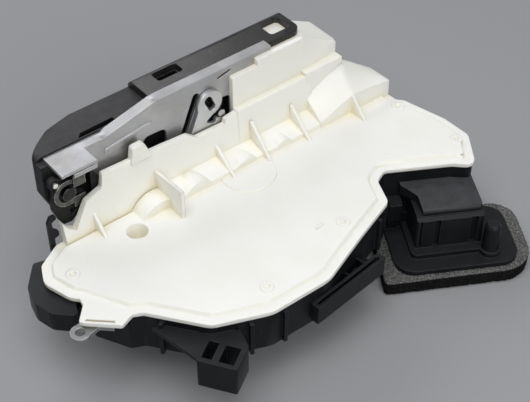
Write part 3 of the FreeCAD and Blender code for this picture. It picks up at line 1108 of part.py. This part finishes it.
def main():
    export(top_cover(), "top_cover")
    export(base_housing(), "base_housing")
    export(seal_ring(), "cover_seal")
    export(latch_screws(), "latch_screws")
    export(worm_wheel(LOCK_WHEEL, LOCK_CRANK_ANGLE, -90), "lock_wheel")
    export(worm_wheel(SAFE_WHEEL, SAFE_CRANK_ANGLE, 90), "safe_wheel")
    export(worm(LOCK_WHEEL, -1, 1), "lock_worm")
    export(worm(SAFE_WHEEL, 1, 1), "safe_worm")
    export(motor(LOCK_WHEEL, -1, 1), "lock_motor")
    export(motor(SAFE_WHEEL, 1, 1), "safe_motor")
    export(drive_lever(LOCK_WHEEL, LOCK_PIVOT, LOCK_CRANK_ANGLE, 165), "lock_lever")
    export(drive_lever(SAFE_WHEEL, SAFE_PIVOT, SAFE_CRANK_ANGLE, 180), "safe_lever")
    export(transfer_lever(), "transfer_lever")
    export(inside_release_lever(), "inside_release_lever")
    export(inside_lever_pin(), "inside_lever_pin")
    export(position_switches(), "position_switches")
    export(lead_frame(), "lead_frame")
    export(connector_housing(), "connector_housing")
    export(connector_hood(), "connector_hood")
    export(connector_pins(), "connector_pins")
    export(foam_gasket(), "foam_gasket")
    export(face_plate(), "face_plate")
    export(back_plate(), "back_plate")
    export(latch_housing(), "latch_housing")
    export(claw(), "claw")
    export(claw_jacket(), "claw_jacket")
    export(claw_pin(), "claw_pin")
    export(pawl(), "pawl")
    export(pawl_pin(), "pawl_pin")
    export(coil_spring(CLAW_X, CLAW_Z, CLAW_PIN_RADIUS + 1.6, 2.0, 200, 9.0), "claw_spring")
    export(coil_spring(PAWL_X, PAWL_Z, PAWL_PIN_RADIUS + 1.4, 2.0, 20, 3.0), "pawl_spring")
    export(rubber_buffer(), "rubber_buffer")
    export(release_lever(), "release_lever")
    export(key_lever(), "key_lever")
    export(key_fork(), "key_fork")
    export(key_pin(), "key_pin")


main()
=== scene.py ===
"""Looks, light and camera for the vehicle door latch actuator.

All lengths are in metres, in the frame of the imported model. Its origin lies on the outer side
of the face plate just above the mouth, Y points out of the vehicle side and Z is up.
"""
import json
import math

import bpy
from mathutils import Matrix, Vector, noise


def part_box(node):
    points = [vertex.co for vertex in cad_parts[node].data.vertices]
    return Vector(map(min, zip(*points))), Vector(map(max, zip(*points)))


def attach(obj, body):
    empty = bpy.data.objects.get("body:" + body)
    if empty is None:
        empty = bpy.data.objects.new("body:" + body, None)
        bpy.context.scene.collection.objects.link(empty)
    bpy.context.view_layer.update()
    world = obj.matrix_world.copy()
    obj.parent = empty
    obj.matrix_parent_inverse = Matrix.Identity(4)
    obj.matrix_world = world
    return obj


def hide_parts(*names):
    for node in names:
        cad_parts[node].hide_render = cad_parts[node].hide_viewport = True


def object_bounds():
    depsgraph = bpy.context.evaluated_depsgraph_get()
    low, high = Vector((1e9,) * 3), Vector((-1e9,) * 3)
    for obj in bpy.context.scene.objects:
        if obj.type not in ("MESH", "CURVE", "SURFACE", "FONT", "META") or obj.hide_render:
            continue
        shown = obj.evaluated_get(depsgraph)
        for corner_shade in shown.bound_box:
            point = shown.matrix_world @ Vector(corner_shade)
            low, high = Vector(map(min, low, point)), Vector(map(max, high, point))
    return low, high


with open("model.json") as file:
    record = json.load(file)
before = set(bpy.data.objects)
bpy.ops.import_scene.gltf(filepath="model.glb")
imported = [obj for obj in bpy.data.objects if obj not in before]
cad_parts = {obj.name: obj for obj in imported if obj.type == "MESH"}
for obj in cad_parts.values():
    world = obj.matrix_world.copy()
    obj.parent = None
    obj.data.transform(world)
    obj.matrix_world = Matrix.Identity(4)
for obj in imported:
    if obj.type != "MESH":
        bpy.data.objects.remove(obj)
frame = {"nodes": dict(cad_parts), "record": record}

CAD_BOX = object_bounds()
MM = 0.001

# Camera, as read from the photograph
IMAGE_WIDTH = 530
FOCAL_PIXELS = 1252
CAMERA_AZIMUTH = math.radians(-39)
CAMERA_ELEVATION = math.radians(43)
CAMERA_DISTANCE = 0.544
CAMERA_TARGET = Vector((0.0, -0.0596, -0.024))
SENSOR_WIDTH = 36.0
CLIP_START, CLIP_END = 0.01, 20.0

# Floor and world
FLOOR_HALF = 1.5
FLOOR_GAP = 0.1 * MM
FLOOR_PATCH = 0.3
FLOOR_COLOUR = (0.31, 0.316, 0.326)
FLOOR_PALER = 1.04
WORLD_COLOUR = (0.80, 0.82, 0.86)
WORLD_STRENGTH = 0.30

# Lamps: name, place from the camera's target, size and power in watts
LAMPS = (
    ("key", (-0.25, -0.20, 1.00), (0.8, 0.8), 6.5),
    ("fill", (-0.10, -0.95, 0.55), (1.0, 0.6), 4.3),
    ("back", (0.1, 0.85, 0.65), (0.9, 0.4), 3.0),
)

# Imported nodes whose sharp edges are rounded, with the radius
SOFT_EDGES = (
    ("top_cover", 0.5 * MM),
    ("base_housing", 0.5 * MM),
    ("connector_hood", 0.9 * MM),
    ("connector_housing", 0.5 * MM),
    ("latch_housing", 0.6 * MM),
    ("face_plate", 0.4 * MM),
    ("back_plate", 0.35 * MM),
    ("release_lever", 0.3 * MM),
    ("key_lever", 0.4 * MM),
    ("inside_release_lever", 0.3 * MM),
)
EDGE_SEGMENTS = 2
SHARP_ANGLE = math.radians(35)
FLAT_ANGLE = math.radians(1.0)
WELD_DISTANCE = 0.02 * MM

# Foam pad: mesh size, how far its faces sink, and its roughness as frequency per metre and depth
FOAM_VOXEL = 1.1 * MM
FOAM_SLACK = 0.25 * MM
FOAM_ROUGHNESS = ((900, 0.22 * MM), (160, 0.25 * MM))

# Finish details that several materials share
MOULD_GRAIN, MOULD_DEPTH = 0.32 * MM, 0.020 * MM
TOOL_MARK_DEPTH = 0.004 * MM
GRIT_COLOUR = (0.35, 0.35, 0.34)
FILM_TINT = (1.04, 1.00, 0.88)
# Edge colour of zinc plating: wear and a painted highlight
PLATING_EDGE_WEAR_AND_HIGHLIGHT = (0.86, 0.86, 0.87)

# Painted highlight on the head of the rivet that holds the key lever's fork
RIVET_PLACE = Vector((-80.3, -23.0, 5.4)) * MM
RIVET_RADIUS = 2.2 * MM


class Nodes:
    """A material's node tree, with short calls for the textures that the finishes share."""

    def __init__(self, name):
        self.material = bpy.data.materials.new(name)
        self.material.use_nodes = True
        self.tree = self.material.node_tree
        self.shader = self.tree.nodes["Principled BSDF"]
        self.place = self.tree.nodes.new("ShaderNodeTexCoord").outputs["Object"]

    def add(self, kind):
        return self.tree.nodes.new(kind)

    def link(self, source, target):
        self.tree.links.new(source, target)

    def stretched(self, scale):
        mapping = self.add("ShaderNodeMapping")
        mapping.inputs["Scale"].default_value = scale
        self.link(self.place, mapping.inputs["Vector"])
        return mapping.outputs["Vector"]

    def noise(self, grain, detail=3.0, roughness=0.55, stretch=None):
        """Noise whose features measure about grain metres."""
        texture = self.add("ShaderNodeTexNoise")
        texture.inputs["Scale"].default_value = 1.0 / grain
        texture.inputs["Detail"].default_value = detail
        texture.inputs["Roughness"].default_value = roughness
        self.link(self.stretched(stretch) if stretch else self.place, texture.inputs["Vector"])
        return texture.outputs["Fac"]

    def cells(self, grain):
        """Distance to the middle of the nearest cell, in cells of about grain metres."""
        texture = self.add("ShaderNodeTexVoronoi")
        texture.inputs["Scale"].default_value = 1.0 / grain
        self.link(self.place, texture.inputs["Vector"])
        return texture.outputs["Distance"]

    def spread(self, value, low, high, out_low=0.0, out_high=1.0):
        """Map the range low to high of a value onto another range."""
        ranged = self.add("ShaderNodeMapRange")
        ranged.inputs["From Min"].default_value = low
        ranged.inputs["From Max"].default_value = high
        ranged.inputs["To Min"].default_value = out_low
        ranged.inputs["To Max"].default_value = out_high
        self.link(value, ranged.inputs["Value"])
        return ranged.outputs["Result"]

    def patches(self, grain, detail=3.0, roughness=0.55, stretch=None, low=0.35, high=0.70):
        """Noise spread out to patches of 0 and 1 with soft borders."""
        return self.spread(self.noise(grain, detail, roughness, stretch), low, high)

    def math(self, operation, first, second):
        step = self.add("ShaderNodeMath")
        step.operation = operation
        self.link(first, step.inputs[0])
        self.link(second, step.inputs[1])
        return step.outputs["Value"]

    def times(self, first, second):
        return self.math("MULTIPLY", first, second)

    def mix(self, factor, first, second):
        """Blend two colours, each a tuple or a socket."""
        blend = self.add("ShaderNodeMix")
        blend.data_type = "RGBA"
        self.link(factor, blend.inputs["Factor"])
        for socket, value in ((blend.inputs[6], first), (blend.inputs[7], second)):
            if isinstance(value, tuple):
                socket.default_value = (*value, 1.0)
            else:
                self.link(value, socket)
        return blend.outputs[2]

    def rounded_normal(self, radius, samples):
        bevel = self.add("ShaderNodeBevel")
        bevel.samples = samples
        bevel.inputs["Radius"].default_value = radius
        return bevel.outputs["Normal"]

    def edges(self, radius):
        """About 1 on outer and inner edges, 0 on open faces."""
        open_face, sharp_edge = 0.99, 0.80
        dot = self.add("ShaderNodeVectorMath")
        dot.operation = "DOT_PRODUCT"
        self.link(self.rounded_normal(radius, 4), dot.inputs[0])
        self.link(self.add("ShaderNodeNewGeometry").outputs["Normal"], dot.inputs[1])
        return self.spread(dot.outputs["Value"], open_face, sharp_edge)

    def upward(self, low=0.35, high=0.95):
        """About 1 on faces that look up, 0 on sides and undersides."""
        parts = self.add("ShaderNodeSeparateXYZ")
        self.link(self.add("ShaderNodeNewGeometry").outputs["Normal"], parts.inputs["Vector"])
        return self.spread(parts.outputs["Z"], low, high)

    def near(self, place, radius):
        """1 within the radius of a point, 0 outside it, with a thin soft border."""
        blur = 0.02
        distance = self.add("ShaderNodeVectorMath")
        distance.operation = "DISTANCE"
        self.link(self.place, distance.inputs[0])
        distance.inputs[1].default_value = place
        return self.spread(distance.outputs["Value"], (1 + blur) * radius, (1 - blur) * radius)

    def corners(self, reach):
        """About 1 deep in inner corners, 0 on open faces."""
        open_face, deep_corner = 0.85, 0.25
        shade = self.add("ShaderNodeAmbientOcclusion")
        shade.samples = 8
        shade.inputs["Distance"].default_value = reach
        return self.spread(shade.outputs["AO"], open_face, deep_corner)

    def bump(self, height, depth, radius=0.0):
        """Surface grain, over edges that catch the light as if rounded to the radius."""
        bump = self.add("ShaderNodeBump")
        bump.inputs["Distance"].default_value = depth
        bump.inputs["Strength"].default_value = 1.0
        self.link(height, bump.inputs["Height"])
        if radius:
            self.link(self.rounded_normal(radius, 6), bump.inputs["Normal"])
        self.link(bump.outputs["Normal"], self.shader.inputs["Normal"])

    def set(self, **values):
        """Give the shader's inputs numbers, tuples or sockets, and return the material."""
        for name, value in values.items():
            socket = self.shader.inputs[name.replace("_", " ")]
            if isinstance(value, (int, float, tuple)):
                socket.default_value = value
            else:
                self.link(value, socket)
        return self.material


def moulded(name, colour, shade, edge_highlight, roughness, grain=MOULD_GRAIN, depth=MOULD_DEPTH, dust_and_top_light=None):
    """Injection-moulded plastic: spark-eroded grain, faint flow marks, wear and painted highlights on
    edges, dust and painted light on top.
    """
    n = Nodes(name)
    flow = n.patches(14 * MM, detail=4.0, roughness=0.6, stretch=(1.0, 1.6, 1.0))
    speck = n.noise(grain, detail=2.0)
    body = n.mix(flow, colour, shade)
    # Faces that look up take dust and a painted top light, so they are lighter than the sides
    if dust_and_top_light:
        uneven = n.spread(n.noise(5 * MM, detail=5.0, roughness=0.7), 0.3, 0.75, 0.55, 1.0)
        body = n.mix(n.times(n.upward(), uneven), body, dust_and_top_light)
        grit = n.spread(n.cells(3.1 * MM), 0.055, 0.035, 0.0, 0.6)
        gritty_places = n.spread(n.noise(30 * MM, detail=2.0), 0.5, 0.6)
        body = n.mix(n.times(grit, gritty_places), body, GRIT_COLOUR)
    # Edges lighter, partly from wear and partly as a painted highlight
    edge_wear_and_highlight = n.times(n.edges(0.7 * MM), n.spread(n.noise(3 * MM), 0.3, 0.7, 0.35, 1.0))
    n.bump(speck, depth, 0.45 * MM)
    gloss = n.spread(n.math("ADD", flow, speck), 0.4, 1.6, roughness - 0.05, roughness + 0.09)
    return n.set(Base_Color=n.mix(edge_wear_and_highlight, body, edge_highlight), Specular_IOR_Level=0.2, Roughness=gloss)


def milky_cover():
    """Unpigmented glass-filled plastic, slightly see-through, with painted warm shade on walls and in
    corners and a painted highlight on edges.
    """
    pale, cloudy, fibrous = (0.915, 0.912, 0.875), (0.885, 0.879, 0.83), (0.80, 0.785, 0.71)
    wall_shade, wall_shade_fibrous = (0.90, 0.892, 0.825), (0.85, 0.835, 0.75)
    corner_shade, edge_highlight = (0.80, 0.745, 0.56), (0.91, 0.905, 0.87)
    n = Nodes("milky_plastic_finish")
    cloud = n.patches(26 * MM, roughness=0.5, high=0.68)
    speck = n.noise(0.35 * MM, detail=2.0)
    fibre = n.spread(n.noise(1.1 * MM, roughness=0.7, stretch=(1.0, 3.0, 1.0)), 0.56, 0.76, 0.0, 0.35)
    top = n.mix(fibre, n.mix(cloud, pale, cloudy), fibrous)
    # Painted shade: walls and slopes take a creamier, darker colour than faces that look up
    body = n.mix(n.upward(0.80, 0.985), n.mix(fibre, wall_shade, wall_shade_fibrous), top)
    # Painted warm shade deep in inner corners
    body = n.mix(n.corners(7 * MM), body, corner_shade)
    n.bump(speck, 0.012 * MM, 0.6 * MM)
    # Painted highlight on edges
    return n.set(Base_Color=n.mix(n.edges(0.8 * MM), body, edge_highlight),
                 Roughness=n.spread(speck, 0.3, 0.7, 0.36, 0.48),
                 Subsurface_Weight=0.15, Subsurface_Radius=(1.0, 0.95, 0.8), Subsurface_Scale=0.002)


def coated_steel():
    """Black dip-coated steel with a slight orange peel, and edges lightened by wear and a painted
    highlight.
    """
    black, hazy, bare_and_highlit = (0.014, 0.014, 0.0145), (0.026, 0.025, 0.025), (0.16, 0.16, 0.16)
    n = Nodes("black_steel_finish")
    peel = n.noise(0.9 * MM, detail=2.0)
    haze = n.patches(9 * MM, detail=4.0, roughness=0.6)
    # Edges go lighter grey, partly from wear and partly as a painted highlight
    worn_and_highlit = n.times(n.edges(0.5 * MM), n.patches(2 * MM, detail=4.0, low=0.45, high=0.75))
    n.bump(peel, 0.01 * MM, 0.5 * MM)
    return n.set(Base_Color=n.mix(worn_and_highlit, n.mix(haze, black, hazy), bare_and_highlit),
                 Roughness=n.spread(haze, 0.0, 1.0, 0.24, 0.36), Specular_IOR_Level=0.36,
                 Coat_Weight=0.12, Coat_Roughness=0.15)


def plated(name, colour, dark, roughness, stretch=(1.0, 1.0, 1.0)):
    """Zinc-plated metal: streaks, cloudy passivation, a yellowish film and edges made bright by rubbing
    and a painted highlight.
    """
    n = Nodes(name)
    streak = n.noise(0.5 * MM, detail=4.0, roughness=0.6, stretch=stretch)
    cloud = n.patches(12 * MM, detail=4.0, roughness=0.6, low=0.36)
    body = n.mix(n.times(cloud, n.spread(streak, 0.3, 0.7, 0.4, 1.0)), colour, dark)
    film = n.spread(n.noise(19 * MM, detail=2.0), 0.52, 0.72, 0.0, 0.35)
    body = n.mix(film, body, tuple(c * tint for c, tint in zip(colour, FILM_TINT)))
    n.bump(streak, TOOL_MARK_DEPTH, 0.45 * MM)
    gloss = n.spread(n.math("ADD", cloud, streak), 0.3, 1.5, roughness - 0.06, roughness + 0.12)
    # Painted highlight, with wear, on the edges
    return n.set(Base_Color=n.mix(n.edges(0.45 * MM), body, PLATING_EDGE_WEAR_AND_HIGHLIGHT), Metallic=0.78, Roughness=gloss)


def bright_metal(name, colour, roughness, grain):
    """Turned, stamped or drawn metal with fine tool marks."""
    n = Nodes(name)
    mark = n.noise(grain, roughness=0.6, stretch=(1.0, 6.0, 6.0))
    n.bump(mark, TOOL_MARK_DEPTH, 0.3 * MM)
    shade = tuple(0.7 * c for c in colour)
    return n.set(Base_Color=n.mix(n.patches(5 * MM), colour, shade), Metallic=1.0,
                 Roughness=n.spread(mark, 0.3, 0.7, roughness - 0.05, roughness + 0.1))


def worn_and_highlit_steel(name, colour, worn_and_highlit, highlight_spot=None):
    """Blackened steel, with edges made bright by rubbing and a painted highlight, and a painted highlight
    within a spot of given place and radius.
    """
    n = Nodes(name)
    haze = n.patches(2.2 * MM, detail=4.0, roughness=0.6)
    body = n.mix(haze, colour, tuple(0.6 * c for c in colour))
    # Edges lighter, partly from wear and partly as a painted highlight
    edge_wear_and_highlight = n.times(n.edges(0.5 * MM), n.patches(1.6 * MM, high=0.6))
    body = n.mix(edge_wear_and_highlight, body, worn_and_highlit)
    if highlight_spot:
        # Painted highlight within the spot on the rivet head
        body = n.mix(n.near(*highlight_spot), body, worn_and_highlit)
    n.bump(n.noise(0.5 * MM), TOOL_MARK_DEPTH, 0.35 * MM)
    return n.set(Base_Color=body, Metallic=1.0, Roughness=n.spread(haze, 0.0, 1.0, 0.30, 0.42))


def rubber():
    """Matt black rubber with a little dust."""
    n = Nodes("soft_rubber_finish")
    dust = n.spread(n.noise(2.5 * MM, detail=4.0, roughness=0.65), 0.5, 0.78, 0.0, 0.5)
    n.bump(n.noise(0.3 * MM), 0.02 * MM)
    return n.set(Base_Color=n.mix(dust, (0.018, 0.018, 0.018), (0.06, 0.06, 0.058)), Roughness=0.72,
                 Specular_IOR_Level=0.35)


def open_foam():
    """Cellular foam with pale struts and dark pores, with painted light: lighter grey on top and painted
    shade making its sides black.
    """
    top, top_paler, top_pore = (0.18, 0.18, 0.175), (0.29, 0.29, 0.28), (0.075, 0.075, 0.073)
    side, side_pore = (0.010, 0.010, 0.010), (0.004, 0.004, 0.004)
    top_strut, side_strut = (0.44, 0.44, 0.42), (0.045, 0.045, 0.043)
    n = Nodes("foam_finish")
    pore = n.spread(n.cells(0.9 * MM), 0.12, 0.62)
    strut = n.patches(0.55 * MM, roughness=0.7, low=0.54, high=0.66)
    tone = n.mix(n.patches(6 * MM), top, top_paler)
    lit_top = n.mix(strut, n.mix(pore, tone, top_pore), top_strut)
    shaded_sides = n.mix(strut, n.mix(pore, side, side_pore), side_strut)
    n.bump(n.math("SUBTRACT", strut, pore), 0.25 * MM)
    # Painted light: faces that look up are lit grey, and the sides are painted dark as shade
    return n.set(Base_Color=n.mix(n.upward(0.3, 0.75), shaded_sides, lit_top), Roughness=0.95,
                 Specular_IOR_Level=0.1)


# Finish of each material slot
FINISHES = {
    "milky_plastic": milky_cover(),
    "natural_plastic": moulded(
        "natural_plastic_finish", colour=(0.74, 0.71, 0.60), shade=(0.66, 0.63, 0.52),
        edge_highlight=(0.80, 0.78, 0.70), roughness=0.36, grain=0.4 * MM, depth=0.010 * MM),
    "grey_plastic": moulded(
        "grey_plastic_finish", colour=(0.006, 0.0066, 0.0078), shade=(0.010, 0.0108, 0.0125),
        edge_highlight=(0.040, 0.042, 0.047), roughness=0.40, dust_and_top_light=(0.019, 0.0198, 0.022)),
    "black_plastic": moulded(
        "black_plastic_finish", colour=(0.008, 0.0082, 0.009), shade=(0.013, 0.0132, 0.014),
        edge_highlight=(0.050, 0.051, 0.054), roughness=0.46, dust_and_top_light=(0.050, 0.050, 0.052)),
    "black_steel": coated_steel(),
    "zinc_sheet": plated("zinc_sheet_finish", (0.46, 0.46, 0.475), (0.38, 0.38, 0.39), 0.40,
                         stretch=(0.12, 1.0, 1.0)),
    "zinc_cast": plated("zinc_cast_finish", (0.60, 0.61, 0.62), (0.46, 0.465, 0.47), 0.38),
    "bare_steel": bright_metal("bare_steel_finish", (0.66, 0.66, 0.67), 0.30, 0.4 * MM),
    "motor_can": bright_metal("motor_can_finish", (0.60, 0.60, 0.59), 0.34, 0.6 * MM),
    "contact_metal": bright_metal("contact_metal_finish", (0.80, 0.78, 0.72), 0.26, 0.3 * MM),
    "soft_rubber": rubber(),
    "foam": open_foam(),
}

# Finish of single nodes that look unlike the rest of their slot
NODE_FINISHES = {
    "key_fork": worn_and_highlit_steel("key_fork_finish", (0.13, 0.13, 0.125), (0.80, 0.80, 0.78),
                           highlight_spot=(RIVET_PLACE, RIVET_RADIUS)),
    "inside_release_lever": plated("dull_zinc_finish", (0.36, 0.375, 0.38), (0.27, 0.28, 0.285), 0.44),
    # Hood with more dust and painted top light than the rest of its slot
    "connector_hood": moulded(
        "hood_dust_and_top_light_finish", colour=(0.009, 0.0094, 0.0104), shade=(0.013, 0.0136, 0.015),
        edge_highlight=(0.050, 0.052, 0.056), roughness=0.44, dust_and_top_light=(0.062, 0.064, 0.068)),
    "key_pin": worn_and_highlit_steel("key_pin_finish", (0.045, 0.045, 0.047), (0.40, 0.40, 0.40)),
}


def dress_nodes():
    """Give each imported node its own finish, or that of its material slot."""
    slots = {part["node"]: part["material_slot"] for part in frame["record"]["subparts"]}
    for name, node in frame["nodes"].items():
        finish = NODE_FINISHES.get(name, FINISHES[slots[name]])
        for place in node.material_slots:
            place.material = finish


def soften(name, radius):
    """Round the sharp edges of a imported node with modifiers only."""
    node = frame["nodes"][name]
    weld = node.modifiers.new("weld", "WELD")
    weld.merge_threshold = WELD_DISTANCE
    flat = node.modifiers.new("flat", "DECIMATE")
    flat.decimate_type = "DISSOLVE"
    flat.angle_limit = FLAT_ANGLE
    rounding = node.modifiers.new("round", "BEVEL")
    rounding.width = radius
    rounding.segments = EDGE_SEGMENTS
    rounding.limit_method = "ANGLE"
    rounding.angle_limit = SHARP_ANGLE
    rounding.harden_normals = True


def foam_piece():
    """Foam gasket with slightly slack faces and a torn, cellular surface."""
    node = frame["nodes"]["foam_gasket"]
    piece = bpy.data.objects.new("foam_pad", node.data.copy())
    bpy.context.scene.collection.objects.link(piece)
    remesh = piece.modifiers.new("remesh", "REMESH")
    remesh.mode = "VOXEL"
    remesh.voxel_size = FOAM_VOXEL
    evaluated = piece.evaluated_get(bpy.context.evaluated_depsgraph_get())
    mesh = bpy.data.meshes.new_from_object(evaluated)
    piece.modifiers.clear()
    piece.data = mesh
    low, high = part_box("foam_gasket")
    for vertex in mesh.vertices:
        point = vertex.co
        rough = sum(noise.noise(point * frequency) * depth for frequency, depth in FOAM_ROUGHNESS)
        moved = point + vertex.normal * (rough - FOAM_SLACK)
        vertex.co = Vector([min(max(moved[i], low[i]), high[i]) for i in range(3)])
    mesh.materials.clear()
    mesh.materials.append(FINISHES["foam"])
    for face in mesh.polygons:
        face.use_smooth = True
    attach(piece, "latch_frame")
    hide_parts("foam_gasket")


def aim(item):
    """Turn a camera or a lamp towards the middle of the view."""
    back = item.location - CAMERA_TARGET
    item.rotation_mode = "QUATERNION"
    item.rotation_quaternion = back.to_track_quat("Z", "Y")


def add_camera():
    camera = bpy.data.objects.new("camera", bpy.data.cameras.new("camera"))
    bpy.context.scene.collection.objects.link(camera)
    level = math.cos(CAMERA_ELEVATION)
    back = Vector((math.sin(CAMERA_AZIMUTH) * level, -math.cos(CAMERA_AZIMUTH) * level,
                   math.sin(CAMERA_ELEVATION)))
    camera.location = CAMERA_TARGET + back * CAMERA_DISTANCE
    camera.data.sensor_width = SENSOR_WIDTH
    camera.data.lens = FOCAL_PIXELS / IMAGE_WIDTH * SENSOR_WIDTH
    camera.data.clip_start = CLIP_START
    camera.data.clip_end = CLIP_END
    aim(camera)
    bpy.context.scene.camera = camera


def add_floor():
    """Plain pale floor just under the lowest point."""
    height = CAD_BOX[0].z - FLOOR_GAP
    corners = [(x * FLOOR_HALF, y * FLOOR_HALF, height) for x, y in ((-1, -1), (1, -1), (1, 1), (-1, 1))]
    mesh = bpy.data.meshes.new("floor")
    mesh.from_pydata(corners, [], [(0, 1, 2, 3)])
    floor = bpy.data.objects.new("floor", mesh)
    bpy.context.scene.collection.objects.link(floor)
    n = Nodes("floor_finish")
    paler = tuple(FLOOR_PALER * c for c in FLOOR_COLOUR)
    tone = n.mix(n.noise(FLOOR_PATCH, detail=2.0), FLOOR_COLOUR, paler)
    mesh.materials.append(n.set(Base_Color=tone, Roughness=0.9))


def add_world():
    world = bpy.data.worlds.new("studio")
    world.use_nodes = True
    background = world.node_tree.nodes["Background"]
    background.inputs["Color"].default_value = (*WORLD_COLOUR, 1.0)
    background.inputs["Strength"].default_value = WORLD_STRENGTH
    bpy.context.scene.world = world


def add_lamp(name, offset, size, power):
    """Soft rectangular lamp, placed from the camera's target and aimed at it."""
    lamp = bpy.data.lights.new(name, "AREA")
    lamp.shape = "RECTANGLE"
    lamp.size, lamp.size_y = size
    lamp.energy = power
    item = bpy.data.objects.new(name, lamp)
    bpy.context.scene.collection.objects.link(item)
    item.location = CAMERA_TARGET + Vector(offset)
    aim(item)


dress_nodes()
for node_name, edge_radius in SOFT_EDGES:
    soften(node_name, edge_radius)
foam_piece()
add_camera()
add_floor()
add_world()
for lamp_settings in LAMPS:
    add_lamp(*lamp_settings)
bpy.context.scene.view_settings.view_transform = "Standard"
